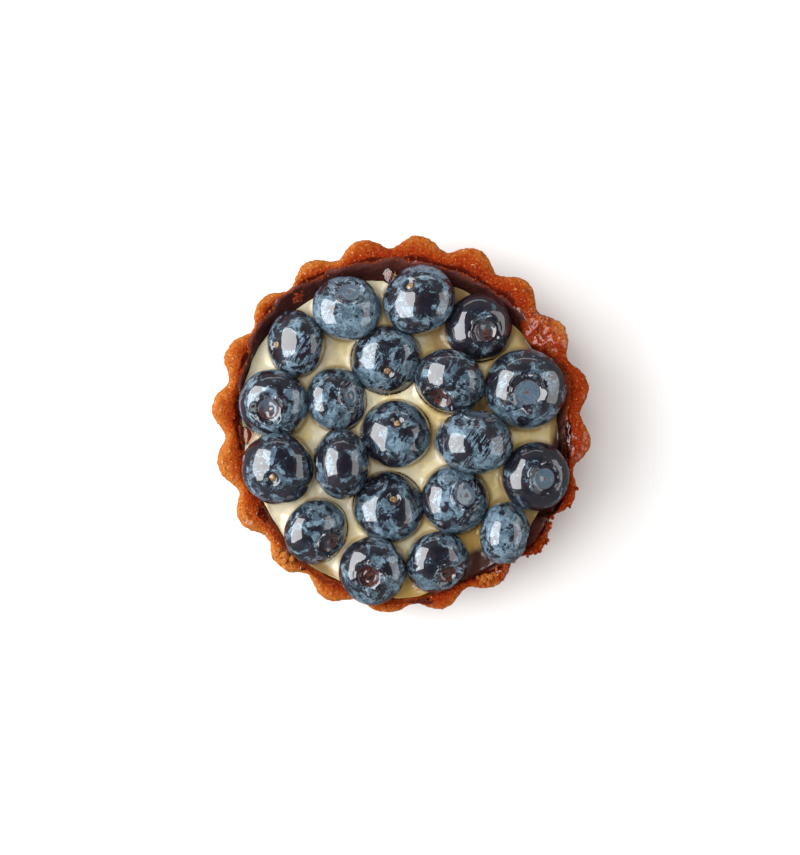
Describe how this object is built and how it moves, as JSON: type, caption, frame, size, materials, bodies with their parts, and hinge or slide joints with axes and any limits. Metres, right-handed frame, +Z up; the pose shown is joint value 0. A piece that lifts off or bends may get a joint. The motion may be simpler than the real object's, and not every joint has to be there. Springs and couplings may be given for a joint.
{
  "type": "blueberry tart",
  "caption": "Small round fluted shortcrust tart with a dark chocolate lining, pastry cream and whole glazed blueberries.",
  "frame": {"origin": "middle of the flat base, on the surface that the tart stands on", "axes": "+Z up through the filling, +X to the right and +Y to the top of the overhead view"},
  "size_m": [0.0847, 0.0845, 0.032],
  "materials": {
    "crust": "baked shortcrust, sandy and matte, browner on the rim, with glaze on parts of it",
    "lining": "dark chocolate coating, satin, glossy where glaze lies on it",
    "cream": "smooth vanilla pastry cream under a thin wet glaze",
    "berry_skin": "dark blue skin with patchy pale bloom under a clear glaze"
  },
  "bodies": {
    "root": {"crust": "crust", "chocolate_lining": "lining", "pastry_cream": "cream", "blueberry_01": "berry_skin", "blueberry_02": "berry_skin", "blueberry_03": "berry_skin", "blueberry_04": "berry_skin", "blueberry_05": "berry_skin", "blueberry_06": "berry_skin", "blueberry_07": "berry_skin", "blueberry_08": "berry_skin", "blueberry_09": "berry_skin", "blueberry_10": "berry_skin", "blueberry_11": "berry_skin", "blueberry_12": "berry_skin", "blueberry_13": "berry_skin", "blueberry_14": "berry_skin", "blueberry_15": "berry_skin", "blueberry_16": "berry_skin", "blueberry_17": "berry_skin", "blueberry_18": "berry_skin", "blueberry_19": "berry_skin", "blueberry_20": "berry_skin"}
  },
  "joints": []
}
